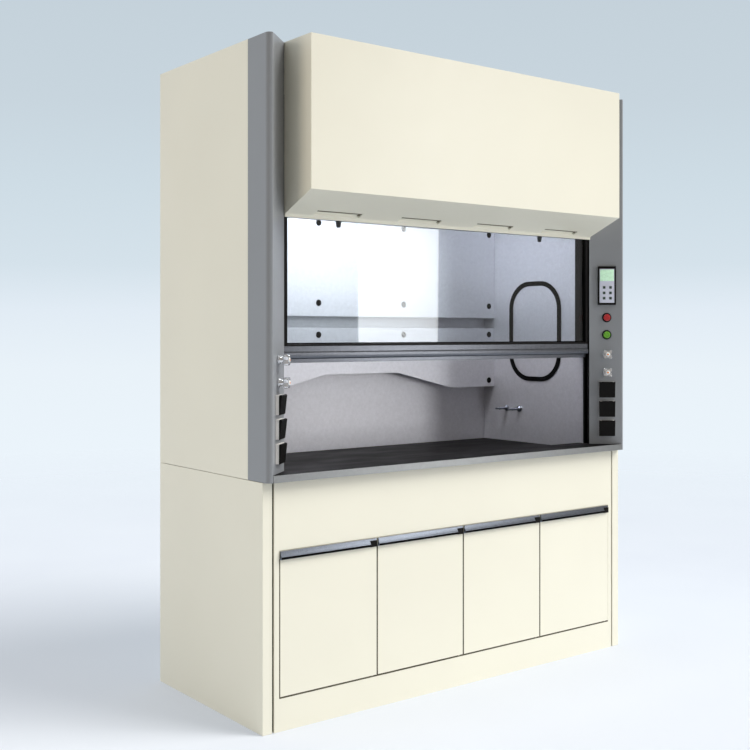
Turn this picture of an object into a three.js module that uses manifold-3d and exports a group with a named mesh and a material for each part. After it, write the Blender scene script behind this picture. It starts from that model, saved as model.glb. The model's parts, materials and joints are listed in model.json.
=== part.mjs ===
// A walk-up laboratory fume hood on a four-door base cabinet.
// Millimetres. +Z is up, the front faces -Y, and the origin is the middle of the footprint, on the floor.
import * as THREE from "three";
import { mergeVertices } from "three/addons/utils/BufferGeometryUtils.js";
import Module from "manifold-3d";

const wasm = await Module();
wasm.setup();

// ---------- driving dimensions ----------
const WIDTH = 1800;
const DEPTH = 860;
const HEIGHT = 2350;
const HALF = WIDTH / 2;
const REAR = DEPTH / 2; // Y of the back
const CANOPY_FRONT = -DEPTH / 2; // Y of the canopy's front, the foremost face
const POST_TIP = CANOPY_FRONT + 74; // Y of the posts' front edges
const BASE_FRONT = POST_TIP + 36; // Y of the base cabinet's front
const SEAM = 846; // Z of the base cabinet's top edge
const UPPER_FOOT = SEAM + 1.3; // Z where the hood's outer pieces start
const RIM_TOP = 872; // Z of the worktop's raised rim
const GAP = 0.3; // between pieces that touch
const SHEET = 3; // folded steel sheet

// The posts beside the sash: a rounded outer corner, then a slanted control face.
const CORNER_R = 18;
const INNER_X = 778; // half width between the posts, and of the work chamber
const SLANT_DEPTH = 92;
const POST_BACK = BASE_FRONT + 95; // Y where the side panels start
const SLANT_WIDTH = HALF - CORNER_R - INNER_X;
const SLANT_ANGLE = Math.atan2(SLANT_DEPTH, SLANT_WIDTH);
const SLANT_END = POST_TIP + SLANT_DEPTH; // Y of the control face's inner edge

// Sash
const SASH_FRONT = SLANT_END + 5;
const SASH_BACK = SASH_FRONT + 55;
const SASH_HALF = INNER_X - 2.5;
const SASH_BOTTOM = 1243.5;
const SASH_TOP = 2171;
const RAIL_TOP = 1302;
const SILL = RAIL_TOP + 7; // Z where the glass stands
const RAIL_BACK = SASH_FRONT + 19;
const STILE = 14; // visible front width of the sash stiles
const REBATE = 7; // ledge that the glass lies against
const GLASS_FRONT = SASH_FRONT + 9;
const GLASS = 6;

// Work chamber
const WELL = 849; // Z of the worktop's sunk surface
const SLAB = 20; // the worktop's thickness there
const LINER_FRONT = SLANT_END + 35;
const BACK_WALL = 393; // Y of the rear liner's face
const BAFFLE = 323; // Y of the baffles' face
const CEILING = 2150;
const HEADER = SASH_BACK + 18; // Y of the header's face behind the sash

// Sash counterbalance
const CABLE_X = 764;
const LUG_TOP = 1290; // Z where each cable leaves the sash
const CABLE_D = 4;
const PULLEY_R = 32; // radius of the cable's path
const PULLEY_Z = 2280;
const SASH_CABLE_Y = SASH_BACK + 6;
const WEIGHT_CABLE_Y = 412;
const FRONT_SHAFT_Y = SASH_CABLE_Y + PULLEY_R;
const REAR_SHAFT_Y = WEIGHT_CABLE_Y - PULLEY_R;

// Base cabinet
const SIDE_RETURN = 862; // half width between the side panels' front edges
const STILE_OUT = 854; // half width of the front frame
const DOORS_HALF = 834; // half width of the four doors
const DOOR_COUNT = 4;
const DOOR_BOTTOM = 115;
const DOOR_TOP = 612;
const DOOR_THICK = 20;
const PIVOT_IN = 17; // door pivot from the door's edge
const PIVOT_BACK = 5; // door pivot behind the door's face

// ---------- finishes ----------
const finish = (color, roughness, metalness = 0) => ({ color, roughness, metalness });
const CREAM = finish(0xf2f1e4, 0.45);
const GREY = finish(0x8f9499, 0.5, 0.3);
const STEEL = finish(0xc9ccd2, 0.32, 0.8);
const ALUMINIUM = finish(0x8d95a1, 0.35, 0.85);
const DARK_METAL = finish(0x2a2a2c, 0.4, 0.5);
const BLACK_TOP = finish(0x232324, 0.4);
const RUBBER = finish(0x111111, 0.8);
const PLASTIC = finish(0x1c1714, 0.5);
const WHITE_PLASTIC = finish(0xeeebe6, 0.45);
const CHROME = finish(0xe4e6ea, 0.15, 1);
const GLASS_PANE = finish(0xdfe8ea, 0.05);
const RED = finish(0xb83232, 0.3);
const GREEN = finish(0x6fae34, 0.3);

// ---------- shape helpers ----------

// A closed three.js geometry as a manifold solid, with its faces turned outwards.
function solid(geometry) {
  const bare = geometry.index ? geometry.toNonIndexed() : geometry.clone();
  bare.deleteAttribute("normal");
  bare.deleteAttribute("uv");
  const merged = mergeVertices(bare, 1e-4);
  const triVerts = new Uint32Array(merged.index.array);
  const vertProperties = merged.attributes.position.array;
  const made = new wasm.Manifold(new wasm.Mesh({ numProp: 3, vertProperties, triVerts }));
  if (made.volume() > 0) return made;
  const reversed = triVerts.map((_, i) => triVerts[i + 2 - 2 * (i % 3)]);
  return new wasm.Manifold(new wasm.Mesh({ numProp: 3, vertProperties, triVerts: reversed }));
}

function join(first, ...others) {
  return others.reduce((all, one) => all.add(one), first);
}

function cut(first, ...others) {
  return others.reduce((left, one) => left.subtract(one), first);
}

function boxGeometry([x0, x1], [y0, y1], [z0, z1]) {
  const geometry = new THREE.BoxGeometry(x1 - x0, y1 - y0, z1 - z0);
  return geometry.translate((x0 + x1) / 2, (y0 + y1) / 2, (z0 + z1) / 2);
}

function box(x, y, z) {
  return solid(boxGeometry(x, y, z));
}

// A box across the middle, from -half to half in X.
function wideBox(half, y, z) {
  return box([-half, half], y, z);
}

// A box on one side: `reach` is its distances from the middle, and `side` is -1 on the left, 1 on the right.
function sideBox(side, reach, y, z) {
  return box(reach.map((x) => side * x).sort((a, b) => a - b), y, z);
}

// An outline is a THREE.Shape or a list of points.
function extruded(outline, from, to, curveSegments = 6) {
  const points = () => outline.map(([u, v]) => new THREE.Vector2(u, v));
  const shape = outline instanceof THREE.Shape ? outline : new THREE.Shape(points());
  const geometry = new THREE.ExtrudeGeometry(shape, { depth: to - from, bevelEnabled: false, curveSegments });
  return geometry.translate(0, 0, from);
}

// Outline in X and Y, extruded up from z0 to z1.
function alongZ(outline, z0, z1, curveSegments) {
  return solid(extruded(outline, z0, z1, curveSegments));
}

// An outline drawn for the right side, on either side.
function mirrored(points, side) {
  return points.map(([x, y]) => [side * x, y]);
}

// Outline in Y and Z, extruded from x0 to x1.
const yzPlane = new THREE.Matrix4().set(0, 0, 1, 0, 1, 0, 0, 0, 0, 1, 0, 0, 0, 0, 0, 1);

function alongX(outline, x0, x1, curveSegments) {
  const geometry = extruded(outline, Math.min(x0, x1), Math.max(x0, x1), curveSegments);
  return solid(geometry.applyMatrix4(yzPlane));
}

// A turned shape: pairs of radius and distance along the local Y axis, closed on that axis.
function turnedGeometry(profile, segments = 20) {
  return new THREE.LatheGeometry(profile.map(([r, y]) => new THREE.Vector2(r, y)), segments);
}

function rodGeometry(r, y0, y1, segments = 16) {
  return new THREE.CylinderGeometry(r, r, y1 - y0, segments).translate(0, (y0 + y1) / 2, 0);
}

const ontoX = new THREE.Matrix4().makeRotationZ(-Math.PI / 2); // turns the local Y axis onto X
const ontoZ = new THREE.Matrix4().makeRotationX(Math.PI / 2); // turns the local Y axis onto Z

function at(geometry, x, y, z) {
  return geometry.clone().translate(x, y, z);
}

// ---------- the scene graph ----------
const hood = new THREE.Group();

function meshOf(name, made, look) {
  const { vertProperties, triVerts } = made.getMesh();
  const geometry = new THREE.BufferGeometry();
  geometry.setAttribute("position", new THREE.BufferAttribute(new Float32Array(vertProperties), 3));
  geometry.setIndex(new THREE.BufferAttribute(new Uint32Array(triVerts), 1));
  geometry.computeVertexNormals();
  const mesh = new THREE.Mesh(geometry, new THREE.MeshStandardMaterial(look));
  mesh.name = name;
  return mesh;
}

function add(name, made, look, parent = hood) {
  parent.add(meshOf(name, made, look));
}

const SIDES = [
  ["left", -1],
  ["right", 1],
];

// A control face as a group: X runs along the face, Y goes into the post, Z is up from the floor.
function controlFace(side) {
  const face = new THREE.Group();
  face.position.set(side * (INNER_X + SLANT_WIDTH / 2), POST_TIP + SLANT_DEPTH / 2, 0);
  face.rotation.z = -side * SLANT_ANGLE;
  face.updateMatrix();
  hood.add(face);
  return face;
}

const faces = { left: controlFace(-1), right: controlFace(1) };
const CONTROL_OFFSET = 5; // the line of controls, outboard of the face's middle

// ---------- base cabinet ----------

function baseSide(side) {
  const outline = [
    [HALF, REAR - GAP],
    [HALF, BASE_FRONT],
    [SIDE_RETURN, BASE_FRONT],
    [SIDE_RETURN, BASE_FRONT + DOOR_THICK],
    [SIDE_RETURN + SHEET, BASE_FRONT + DOOR_THICK],
    [SIDE_RETURN + SHEET, BASE_FRONT + SHEET],
    [HALF - SHEET, BASE_FRONT + SHEET],
    [HALF - SHEET, REAR - GAP],
  ];
  return alongZ(mirrored(outline, side), 0, SEAM);
}

// One sheet behind the base and the hood, with a forward flange at each side.
function backPanel() {
  const outer = HALF - SHEET - GAP;
  const flange = 22;
  const top = HEIGHT - SHEET - GAP;
  return cut(
    wideBox(outer, [REAR - flange, REAR], [0, top]),
    wideBox(outer - SHEET, [REAR - flange - 1, REAR - SHEET], [-1, top + 1]),
  );
}

function doorSpan(i) {
  const pitch = (2 * DOORS_HALF) / DOOR_COUNT;
  const clearance = 1.5;
  return [-DOORS_HALF + i * pitch + clearance, -DOORS_HALF + (i + 1) * pitch - clearance];
}

const DOOR_INDEXES = Array.from({ length: DOOR_COUNT }, (_, i) => i);
const PIN_R = 3;

// Every door turns about its right edge, where its pull is cut back.
function pivotPin(i, r, z0, z1) {
  const [, x1] = doorSpan(i);
  const pin = rodGeometry(r, z0, z1, 12).applyMatrix4(ontoZ);
  return solid(pin.translate(x1 - PIVOT_IN, BASE_FRONT + PIVOT_BACK, 0));
}

function baseFrontFrame() {
  const back = BASE_FRONT + DOOR_THICK;
  const ring = join(
    cut(
      wideBox(STILE_OUT, [BASE_FRONT, back], [0, SEAM]),
      wideBox(STILE_OUT - SHEET, [BASE_FRONT + SHEET, back + 1], [SHEET, SEAM - SHEET]),
    ),
    wideBox(DOORS_HALF + SHEET, [BASE_FRONT, back], [DOOR_BOTTOM - SHEET, DOOR_TOP + SHEET]),
  );
  const grooveFloors = SIDES.map(([, side]) =>
    sideBox(side, [STILE_OUT - 1, SIDE_RETURN - GAP], [back - 8, back - 5], [0, SEAM]),
  );
  const holes = DOOR_INDEXES.map((i) => pivotPin(i, PIN_R + GAP, DOOR_BOTTOM - 10, DOOR_TOP + 10));
  const doorway = wideBox(DOORS_HALF, [BASE_FRONT - 1, back + 1], [DOOR_BOTTOM, DOOR_TOP]);
  return cut(join(ring, ...grooveFloors), doorway, ...holes);
}

// The cabinet's floor with the middle partition welded on.
function baseInnerFrame() {
  const floorTop = DOOR_BOTTOM - SHEET - GAP;
  const [doorBack, back] = [BASE_FRONT + DOOR_THICK, REAR - SHEET - 1];
  const floor = wideBox(HALF - SHEET - 1, [doorBack + GAP, back], [floorTop - SHEET, floorTop]);
  const upright = [floorTop - 1, WELL - SLAB - GAP];
  const partition = join(
    wideBox(SHEET / 2, [doorBack + 15, back], upright),
    wideBox(10, [doorBack + 15, doorBack + 15 + SHEET], upright),
  );
  const corner = [REAR - 23, REAR];
  const notches = SIDES.map(([, side]) => sideBox(side, [HALF - 25, HALF], corner, [0, floorTop + 1]));
  return cut(join(floor, partition), ...notches);
}

// A double-skin door with its pivot pins, and a slot under it that drains the hollow.
function door(i) {
  const [x0, x1] = doorSpan(i);
  const skin = 2;
  const [y0, y1] = [BASE_FRONT, BASE_FRONT + DOOR_THICK];
  const [z0, z1] = [DOOR_BOTTOM + 2, DOOR_TOP - 1.5];
  const middle = (x0 + x1) / 2;
  return join(
    cut(
      box([x0, x1], [y0, y1], [z0, z1]),
      box([x0 + skin, x1 - skin], [y0 + skin, y1 - skin], [z0 + skin, z1 - skin]),
      box([middle - 20, middle + 20], [y0 + 6, y1 - 6], [z0 - 1, z0 + skin + 1]),
    ),
    pivotPin(i, PIN_R, z0 - 4.4, z0 + 1),
    pivotPin(i, PIN_R, z1 - 1, z1 + 4),
  );
}

// A pull along the door's top edge: a hollow-faced lip over a finger gap, cut back at the right end.
function doorHandle(i) {
  const [x0, x1] = doorSpan(i);
  const [back, top, low] = [BASE_FRONT - GAP, DOOR_TOP - 2, DOOR_TOP - 32];
  const outline = new THREE.Shape();
  outline.moveTo(back, low);
  outline.lineTo(back, top);
  outline.lineTo(back - 4, top);
  outline.quadraticCurveTo(back - 7, top - 14, back - 11.7, top - 20);
  outline.lineTo(back - 11.7, top - 24);
  outline.lineTo(back - 9.5, top - 24);
  outline.lineTo(back - 9, top - 21);
  outline.lineTo(back - 3, top - 17);
  outline.lineTo(back - 3, low);
  outline.closePath();
  const swingRoom = 3.5; // keeps the end clear of the frame beside it while the door turns
  const pull = alongX(outline, x0 + 1, x1 - swingRoom, 5);
  return cut(pull, box([x1 - 33, x1 + 1], [back - 20, back - 3], [low - 1, top - 7]));
}

SIDES.forEach(([word, side]) => add(`base_side_${word}`, baseSide(side), CREAM));
add("back_panel", backPanel(), CREAM);
add("base_inner_frame", baseInnerFrame(), CREAM);
add("base_front_frame", baseFrontFrame(), CREAM);
DOOR_INDEXES.forEach((i) => {
  add(`door_${i + 1}`, door(i), CREAM);
  add(`door_handle_${i + 1}`, doorHandle(i), ALUMINIUM);
});

// ---------- worktop ----------
const RIM_BACK = SASH_BACK + 4; // Y where the rim slopes down
const RIM_FOOT = RIM_BACK + 25; // Y where it meets the well
const EDGE_THICK = 3.7;
const RIM_HALF = HALF - 20.5;

function worktop() {
  const under = WELL - SLAB;
  const behindApron = BASE_FRONT + DOOR_THICK + 1;
  const rimFront = POST_TIP + EDGE_THICK + GAP;
  const slab = [
    [behindApron, under],
    [BACK_WALL + 7, under],
    [BACK_WALL + 7, WELL],
    [RIM_FOOT, WELL],
    [RIM_BACK, RIM_TOP],
    [behindApron, RIM_TOP],
  ];
  const rim = wideBox(RIM_HALF, [rimFront, RIM_BACK], [UPPER_FOOT, RIM_TOP]);
  return cut(join(alongX(slab, -(INNER_X + 12), INNER_X + 12), rim), ...wallSeats());
}

// Shallow steps round the well's edge, which the chamber's walls stand in.
function wallSeats() {
  const [clear, reach] = [0.5, 13];
  const steps = [WELL - 1, WELL + 3];
  const alongSides = [RIM_FOOT - 2, BACK_WALL + reach];
  return [
    wideBox(INNER_X + reach, [BACK_WALL - clear, BACK_WALL + reach], steps),
    ...SIDES.map(([, side]) => sideBox(side, [INNER_X - clear, INNER_X + reach], alongSides, steps)),
  ];
}

function worktopFrontEdge() {
  return wideBox(RIM_HALF, [POST_TIP, POST_TIP + EDGE_THICK], [UPPER_FOOT, RIM_TOP]);
}

add("worktop", worktop(), BLACK_TOP);
add("worktop_front_edge", worktopFrontEdge(), ALUMINIUM);

// ---------- outer shell of the hood ----------

function upperSide(side) {
  const outline = [
    [HALF, REAR - GAP],
    [HALF, POST_BACK],
    [HALF - 18, POST_BACK],
    [HALF - 18, POST_BACK + SHEET],
    [HALF - SHEET, POST_BACK + SHEET],
    [HALF - SHEET, REAR - GAP],
  ];
  return alongZ(mirrored(outline, side), UPPER_FOOT, HEIGHT);
}

// A bracket plate under the roof that carries one end of a pulley shaft.
function shaftBracket(side, y) {
  const x = side * (CABLE_X - 19);
  const plate = new THREE.Shape();
  plate.moveTo(y - 25, HEIGHT - 1);
  plate.lineTo(y - 14, PULLEY_Z);
  plate.absarc(y, PULLEY_Z, 14, Math.PI, 2 * Math.PI, false);
  plate.lineTo(y + 25, HEIGHT - 1);
  plate.closePath();
  return alongX(plate, x - 3, x + 3, 5);
}

const SHAFT_R = 8;
const COLLAR_Y = 215;
const COLLAR_R = 125;

function roofPanel() {
  const sheetZ = [HEIGHT - SHEET, HEIGHT];
  const plate = join(
    wideBox(HALF - SHEET - GAP, [POST_BACK + SHEET + GAP, REAR], sheetZ),
    wideBox(INNER_X - 0.5, [SLANT_END + GAP, POST_BACK + SHEET + 1], sheetZ),
  );
  const shafts = [FRONT_SHAFT_Y, REAR_SHAFT_Y];
  const brackets = SIDES.flatMap(([, side]) => shafts.map((y) => shaftBracket(side, y)));
  const bores = shafts.map((y) => {
    const bore = rodGeometry(SHAFT_R + GAP, -HALF, HALF).applyMatrix4(ontoX);
    return solid(at(bore, 0, y, PULLEY_Z));
  });
  return cut(join(plate, ...brackets), ...bores, ductHole(HEIGHT));
}

function ductHole(z) {
  const hole = rodGeometry(COLLAR_R + 1.5, z - 20, z + 20, 28).applyMatrix4(ontoZ);
  return solid(hole.translate(0, COLLAR_Y, 0));
}

// A duct spigot that stands on the chamber's ceiling and comes out through the roof.
function exhaustCollar() {
  const wall = 3;
  const [inner, foot, top] = [COLLAR_R - wall, CEILING + SHEET + 2 * GAP, HEIGHT + 60];
  const profile = [
    [inner, CEILING - 8],
    [COLLAR_R, CEILING - 8],
    [COLLAR_R, foot],
    [COLLAR_R + 20, foot],
    [COLLAR_R + 20, foot + 3],
    [COLLAR_R, foot + 3],
    [COLLAR_R, top - 30],
    [COLLAR_R + 4, top - 27],
    [COLLAR_R, top - 24],
    [COLLAR_R, top],
    [inner, top],
    [inner, CEILING - 8],
  ];
  return solid(turnedGeometry(profile, 28).applyMatrix4(ontoZ).translate(0, COLLAR_Y, 0));
}

const CANOPY_LOW = 1829; // Z of the front face's lower edge
const LIP_TOP = 1759.5;
const LIP_BOTTOM = 1748.5;
const LIP_FRONT = SLANT_END - 6;

function canopyUnderside(y) {
  return CANOPY_LOW - ((CANOPY_LOW - LIP_TOP) * (y - CANOPY_FRONT)) / (LIP_FRONT - CANOPY_FRONT);
}

// A shallow tray pressed into the canopy's underside, next to the lip.
function canopyRecess(x) {
  const [front, back] = [LIP_FRONT - 34, LIP_FRONT - 5];
  const [low, deep] = [-3, 7];
  const outline = [
    [front, canopyUnderside(front) + low],
    [back, canopyUnderside(back) + low],
    [back, canopyUnderside(back) + deep],
    [front, canopyUnderside(front) + deep],
  ];
  return alongX(outline, x - 98, x + 98);
}

function frontCanopy() {
  const back = SLANT_END - GAP;
  const bend = 6;
  const outer = new THREE.Shape();
  outer.moveTo(CANOPY_FRONT, CANOPY_LOW);
  outer.lineTo(LIP_FRONT - bend, canopyUnderside(LIP_FRONT - bend));
  outer.quadraticCurveTo(LIP_FRONT, LIP_TOP, LIP_FRONT, LIP_TOP - bend);
  outer.lineTo(LIP_FRONT, LIP_BOTTOM);
  outer.lineTo(back, LIP_BOTTOM);
  outer.lineTo(back, HEIGHT);
  outer.lineTo(CANOPY_FRONT, HEIGHT);
  outer.closePath();
  const thick = 11;
  const inner = [
    [CANOPY_FRONT + SHEET, canopyUnderside(CANOPY_FRONT + SHEET) + thick],
    [back + 1, canopyUnderside(back + 1) + thick],
    [back + 1, HEIGHT - SHEET],
    [CANOPY_FRONT + SHEET, HEIGHT - SHEET],
  ];
  const recesses = [-566, -189, 189, 566].map(canopyRecess);
  const inside = INNER_X - SHEET;
  return cut(alongX(outer, -INNER_X, INNER_X, 4), alongX(inner, -inside, inside), ...recesses);
}

SIDES.forEach(([word, side]) => add(`upper_side_${word}`, upperSide(side), CREAM));
add("roof_panel", roofPanel(), CREAM);
add("exhaust_collar", exhaustCollar(), GREY);
add("front_canopy", frontCanopy(), CREAM);

// ---------- posts with their control faces ----------
const SOCKET_Z = [1106, 1023.5, 941];
const SOCKET_BORE = 48;
const KNOB_Z = [1257, 1180];
const BUTTON_Z = { stop: 1414.5, start: 1340.5 };
const KNOB_STEM = 5;
const BUTTON_STEM = 8;
const CONTROLLER_Z = [1469, 1634];
const CONTROLLER_HALF = 38;
const COLLAR_HALF = 28; // half size of the square sleeves behind the sockets' frames

// The front of the right post's outline, from its outer face round to its inner edge.
function postFront(shape, inset = 0) {
  const front = POST_TIP + CORNER_R;
  shape.lineTo(HALF - inset, front);
  shape.absarc(HALF - CORNER_R, front, CORNER_R - inset, 0, -Math.PI / 2, true);
}

// The right post's section: outer skin, rounded corner, slanted face, and a return behind each end.
function postSection() {
  const back = POST_BACK - GAP;
  const inner = SLANT_END - GAP;
  const tipX = HALF - CORNER_R;
  const slope = SLANT_DEPTH / SLANT_WIDTH;
  const behindFace = (x) => [x, POST_TIP + (tipX - x) * slope + SHEET / Math.cos(SLANT_ANGLE)];
  const shape = new THREE.Shape();
  shape.moveTo(HALF - 15, back);
  shape.lineTo(HALF, back);
  postFront(shape);
  shape.lineTo(INNER_X + GAP, inner);
  shape.lineTo(INNER_X + 20, inner);
  shape.lineTo(INNER_X + 20, inner - SHEET);
  shape.lineTo(...behindFace(INNER_X + 8));
  const bend = CORNER_R - SHEET;
  const seam = -Math.acos(1.1 / bend); // where the slanted face's back meets the rounded corner's
  shape.lineTo(...behindFace(tipX + 1.1));
  shape.absarc(tipX, POST_TIP + CORNER_R, bend, seam, 0, false);
  shape.lineTo(HALF - SHEET, back - SHEET);
  shape.lineTo(HALF - 15, back - SHEET);
  shape.closePath();
  return shape;
}

function postCapSection() {
  const shape = new THREE.Shape();
  shape.moveTo(HALF, POST_BACK - GAP);
  postFront(shape);
  shape.lineTo(INNER_X + GAP, SLANT_END - GAP);
  shape.lineTo(INNER_X + GAP, POST_BACK - GAP);
  shape.closePath();
  return shape;
}

// A shape drawn for the right side, as an outline on either side.
function sided(shape, side) {
  return mirrored(shape.getPoints(5).map((point) => [point.x, point.y]), side);
}

function holeInFace(word, geometry) {
  return solid(geometry.applyMatrix4(faces[word].matrix));
}

function controlX(side) {
  return side * CONTROL_OFFSET;
}

function post(word, side) {
  const x = controlX(side);
  const through = [-6, 12];
  const holes = SOCKET_Z.map((z) =>
    boxGeometry([x - COLLAR_HALF, x + COLLAR_HALF], through, [z - COLLAR_HALF, z + COLLAR_HALF]),
  );
  KNOB_Z.forEach((z) => holes.push(at(rodGeometry(KNOB_STEM + 0.5, ...through, 12), x, 0, z)));
  if (word === "right") {
    const stemHole = rodGeometry(BUTTON_STEM + 0.5, ...through);
    Object.values(BUTTON_Z).forEach((z) => holes.push(at(stemHole, x, 0, z)));
    const [low, high] = CONTROLLER_Z;
    holes.push(boxGeometry([x - 30, x + 30], through, [low + 12, high - 12]));
  }
  const shell = join(
    alongZ(sided(postSection(), side), UPPER_FOOT, HEIGHT - 1),
    alongZ(sided(postCapSection(), side), HEIGHT - SHEET, HEIGHT),
  );
  const rimEnd = [INNER_X - 10, RIM_HALF + GAP];
  const overRim = sideBox(side, rimEnd, [POST_TIP - 1, POST_BACK - 5], [0, RIM_TOP + GAP]);
  return cut(shell, overRim, ...holes.map((one) => holeInFace(word, one)));
}

SIDES.forEach(([word, side]) => add(`post_${word}`, post(word, side), GREY));

// ---------- sash guides ----------
const GUIDE_OUT = INNER_X + 34;
const TONGUE = [SASH_FRONT + 9.5, SASH_FRONT + 18.5]; // Y range of the sash's tongues
const TONGUE_REACH = 19;

function sashTrack(side) {
  const depth = [SLANT_END + GAP, LINER_FRONT - GAP];
  return cut(
    sideBox(side, [INNER_X + GAP, GUIDE_OUT], depth, [RIM_TOP + 0.5, HEIGHT - 10]),
    sideBox(side, [INNER_X - 1, INNER_X + 22], [TONGUE[0] - 2, TONGUE[1] + 2], [RIM_TOP - 1, HEIGHT]),
  );
}

SIDES.forEach(([word, side]) => add(`sash_track_${word}`, sashTrack(side), GREY));

// ---------- work chamber ----------
const NOZZLE_Y = [156, 238];
const NOZZLE_Z = 1000;
const NOZZLE_R = 8;
const PANEL_Y = 59; // middle of the access panel
const PANEL_Z = 1356;
const PANEL_HALF = [151, 217]; // half width and half height of the wall opening
const PANEL_CORNER = 116;

// A rectangle with large round corners, in Y and Z, grown or shrunk by `extra`.
function ovalOutline(extra) {
  const [hy, hz, r] = [PANEL_HALF[0] + extra, PANEL_HALF[1] + extra, PANEL_CORNER + extra];
  const shape = new THREE.Shape();
  shape.absarc(PANEL_Y + hy - r, PANEL_Z - hz + r, r, -Math.PI / 2, 0, false);
  shape.absarc(PANEL_Y + hy - r, PANEL_Z + hz - r, r, 0, Math.PI / 2, false);
  shape.absarc(PANEL_Y - hy + r, PANEL_Z + hz - r, r, Math.PI / 2, Math.PI, false);
  shape.absarc(PANEL_Y - hy + r, PANEL_Z - hz + r, r, Math.PI, 1.5 * Math.PI, false);
  shape.closePath();
  return shape;
}

function linerSide(word, side) {
  const outline = [
    [LINER_FRONT, RIM_TOP + GAP],
    [RIM_BACK + GAP, RIM_TOP + GAP],
    [RIM_FOOT + GAP, WELL + GAP],
    [BACK_WALL + SHEET, WELL + GAP],
    [BACK_WALL + SHEET, CEILING],
    [LINER_FRONT, CEILING],
  ];
  const plate = alongX(outline, side * INNER_X, side * (INNER_X + SHEET));
  const holes = NOZZLE_Y.map((y) => {
    const hole = rodGeometry(NOZZLE_R + 0.4, -20, 20).applyMatrix4(ontoX);
    return solid(hole.translate(side * INNER_X, y, NOZZLE_Z));
  });
  if (word === "right") holes.push(alongX(ovalOutline(0), INNER_X - 10, INNER_X + 10));
  return cut(plate, ...holes);
}

const LAMP = { half: 290, y: [-115, -25], height: 46 };

// The ceiling sheet, raised over the lamp and bent down at the front into the header behind the sash.
function linerCeiling() {
  const [foot, top] = [CEILING + GAP, CEILING + GAP + SHEET];
  const lampTop = foot + LAMP.height;
  return cut(
    join(
      wideBox(INNER_X + SHEET, [HEADER, BACK_WALL + SHEET], [foot, top]),
      wideBox(INNER_X - 0.5, [HEADER, HEADER + SHEET], [STOP_BAR_Z, foot + 1]),
      wideBox(LAMP.half + SHEET, [LAMP.y[0] - SHEET, LAMP.y[1] + SHEET], [foot, lampTop + SHEET]),
    ),
    ductHole(CEILING),
    wideBox(LAMP.half, LAMP.y, [foot - 1, lampTop]),
  );
}

const SLOT = [1370, 1418]; // Z range of the slot between the two baffles

function baffleUpper() {
  const outline = [
    [BAFFLE, SLOT[1]],
    [BAFFLE, 1900],
    [60, 2098],
    [62, 2100.5],
    [BAFFLE + SHEET, 1901.5],
    [BAFFLE + SHEET, SLOT[1]],
  ];
  return alongX(outline, -(INNER_X - 0.5), INNER_X - 0.5);
}

// The lower baffle, arched along its bottom edge.
function baffleLower() {
  const [half, low, arch] = [INNER_X - 0.5, 1098, 1174];
  const bottom = [
    [half, low],
    [510, low],
    [192, arch],
    [-192, arch],
    [-510, low],
    [-half, low],
  ];
  const outline = [[-half, SLOT[0]], [half, SLOT[0]], ...bottom];
  return solid(extruded(outline, 0, SHEET).applyMatrix4(ontoZ).translate(0, BAFFLE + SHEET, 0));
}

// A push-in rubber profile round the oval opening: a web with a flange on each face of the wall.
function accessGasket() {
  const ring = (outer, inner, x0, x1) =>
    cut(alongX(ovalOutline(outer), x0, x1), alongX(ovalOutline(inner), x0 - 1, x1 + 1));
  const wall = [INNER_X - GAP, INNER_X + SHEET + GAP];
  return join(
    ring(9, -12, wall[0] - 4, wall[0]),
    ring(-GAP, -3 + GAP, wall[0] - 1, wall[1] + 1),
    ring(7, -10, wall[1], wall[1] + 3),
  );
}

function accessPanel() {
  return alongX(ovalOutline(-3), INNER_X, INNER_X + SHEET);
}

// Two hose nozzles through the chamber's side wall, on one bracket behind it.
function serviceFitting(side) {
  const profile = [
    [0, -22],
    [NOZZLE_R, -22],
    [NOZZLE_R, GAP],
    [14, GAP],
    [14, 6],
    [6, 11],
    [6, 46],
    [7.5, 48],
    [4, 52],
    [5.2, 60],
    [4, 61],
    [5, 69],
    [3.4, 74],
    [0, 74],
  ];
  const inward = new THREE.Matrix4().makeRotationZ(side > 0 ? Math.PI / 2 : -Math.PI / 2);
  const nozzles = NOZZLE_Y.map((y) => {
    const nozzle = turnedGeometry(profile, 12).applyMatrix4(inward);
    return solid(nozzle.translate(side * INNER_X, y, NOZZLE_Z));
  });
  const [near, far] = NOZZLE_Y;
  const behind = [INNER_X + SHEET + GAP, INNER_X + SHEET + 6];
  return join(sideBox(side, behind, [near - 25, far + 25], [NOZZLE_Z - 25, NOZZLE_Z + 25]), ...nozzles);
}

// ---------- moving sash ----------
const STOP_BAR_Z = 1756;
const STOP_X = 517;

// A steel angle behind the glass with the two rubber stops that the closed sash rests on.
function sashStopBar() {
  const y = [SASH_BACK - 36, HEADER - GAP];
  const stop = turnedGeometry(
    [
      [0, -27],
      [6, -27],
      [8, -24],
      [12, 0],
      [12, 10],
      [10.5, 11.2],
      [0, 11.2],
    ],
    16,
  ).applyMatrix4(ontoZ);
  return join(
    wideBox(745, y, [STOP_BAR_Z, STOP_BAR_Z + SHEET]),
    wideBox(745, [y[1] - SHEET, y[1]], [STOP_BAR_Z, STOP_BAR_Z + 32]),
    ...[-STOP_X, STOP_X].map((x) => solid(at(stop, x, SASH_BACK - 18, STOP_BAR_Z))),
  );
}

add("liner_left", linerSide("left", -1), STEEL);
add("liner_right", linerSide("right", 1), STEEL);
add("liner_back", wideBox(INNER_X - 0.4, [BACK_WALL, BACK_WALL + SHEET], [WELL + GAP, CEILING]), STEEL);
add("liner_ceiling", linerCeiling(), STEEL);
add("baffle_upper", baffleUpper(), STEEL);
add("baffle_lower", baffleLower(), STEEL);
add("access_panel", accessPanel(), STEEL);
add("access_gasket", accessGasket(), RUBBER);
SIDES.forEach(([word, side]) => add(`service_fitting_${word}`, serviceFitting(side), CHROME));
add("sash_stop_bar", sashStopBar(), DARK_METAL);

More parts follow.
